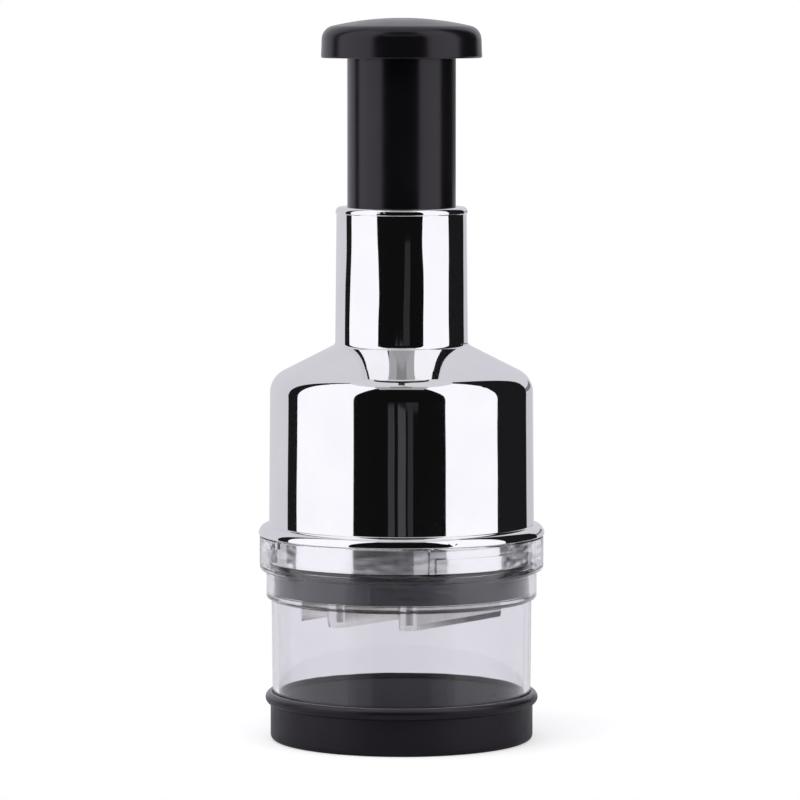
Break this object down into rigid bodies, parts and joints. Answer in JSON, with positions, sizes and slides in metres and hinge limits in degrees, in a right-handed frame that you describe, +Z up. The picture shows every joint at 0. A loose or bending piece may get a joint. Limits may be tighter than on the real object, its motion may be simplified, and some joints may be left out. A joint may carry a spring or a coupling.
{
  "type": "garlic pounder",
  "caption": "Push-down hand chopper: domed black plunger knob, chrome bottle-shaped housing, turning zigzag blade above a clear cup, black chopping base.",
  "frame": {"origin": "centre of the base cap's underside, on the floor plane", "axes": "+Z up along the plunger axis, -Y towards the viewer of the picture, +X to that viewer's right"},
  "size_m": [0.0904, 0.0904, 0.228],
  "materials": {
    "base_black": "satin moulded",
    "clear_plastic": "clear polished",
    "seal_rubber": "matt",
    "chrome": "mirror plating on moulded plastic",
    "frame_grey": "moulded",
    "screw_steel": "zinc plated",
    "acetal_white": "moulded",
    "spring_steel": "drawn wire",
    "plunger_black": "satin gloss",
    "blade_steel": "rolled strip, ground edge",
    "stripper_black": "moulded"
  },
  "bodies": {
    "base": {"base_cap": "base_black"},
    "cup": {"clear_cup": "clear_plastic", "seal_ring": "seal_rubber"},
    "housing": {"chrome_shell": "chrome", "guide_sleeve": "frame_grey", "bridge_plate": "frame_grey", "bridge_screws": "screw_steel", "drive_nut": "acetal_white", "pawl_ring": "acetal_white", "nut_retainer": "frame_grey", "retainer_screws": "screw_steel", "return_spring": "spring_steel"},
    "plunger": {"plunger_tube": "plunger_black", "knob_cap": "plunger_black", "spring_washer": "screw_steel"},
    "cutter": {"drive_spindle": "acetal_white", "thrust_washer": "screw_steel", "lift_washer": "screw_steel", "spindle_screw": "screw_steel", "blade_carrier": "frame_grey", "carrier_screws": "screw_steel", "zigzag_blade": "blade_steel"},
    "stripper": {"stripper_plate": "stripper_black"}
  },
  "joints": [
    {"name": "cup_lift", "type": "slide", "parent": "base", "child": "cup", "axis": [0, 0, 1], "range_m": [0, 0.03]},
    {"name": "housing_twist", "type": "hinge", "parent": "cup", "child": "housing", "pos_m": [0, 0, 0.058], "axis": [0, 0, 1], "range_deg": [0, 45]},
    {"name": "plunger_press", "type": "slide", "parent": "housing", "child": "plunger", "axis": [0, 0, -1], "range_m": [0, 0.024], "stiffness_N_per_m": 320, "springref_m": -0.03, "deforming": ["return_spring"]},
    {"name": "cutter_turn", "type": "hinge", "parent": "plunger", "child": "cutter", "pos_m": [0, 0, 0.1], "axis": [0, 0, 1], "range_deg": [0, 30]},
    {"name": "stripper_turn", "type": "hinge", "parent": "housing", "child": "stripper", "pos_m": [0, 0, 0.05], "axis": [0, 0, 1], "range_deg": [0, 30]}
  ],
  "couplings": [
    {"joint": "cutter_turn", "follows": "plunger_press", "rad_per_m": 21.817},
    {"joint": "stripper_turn", "follows": "plunger_press", "rad_per_m": 21.817}
  ]
}
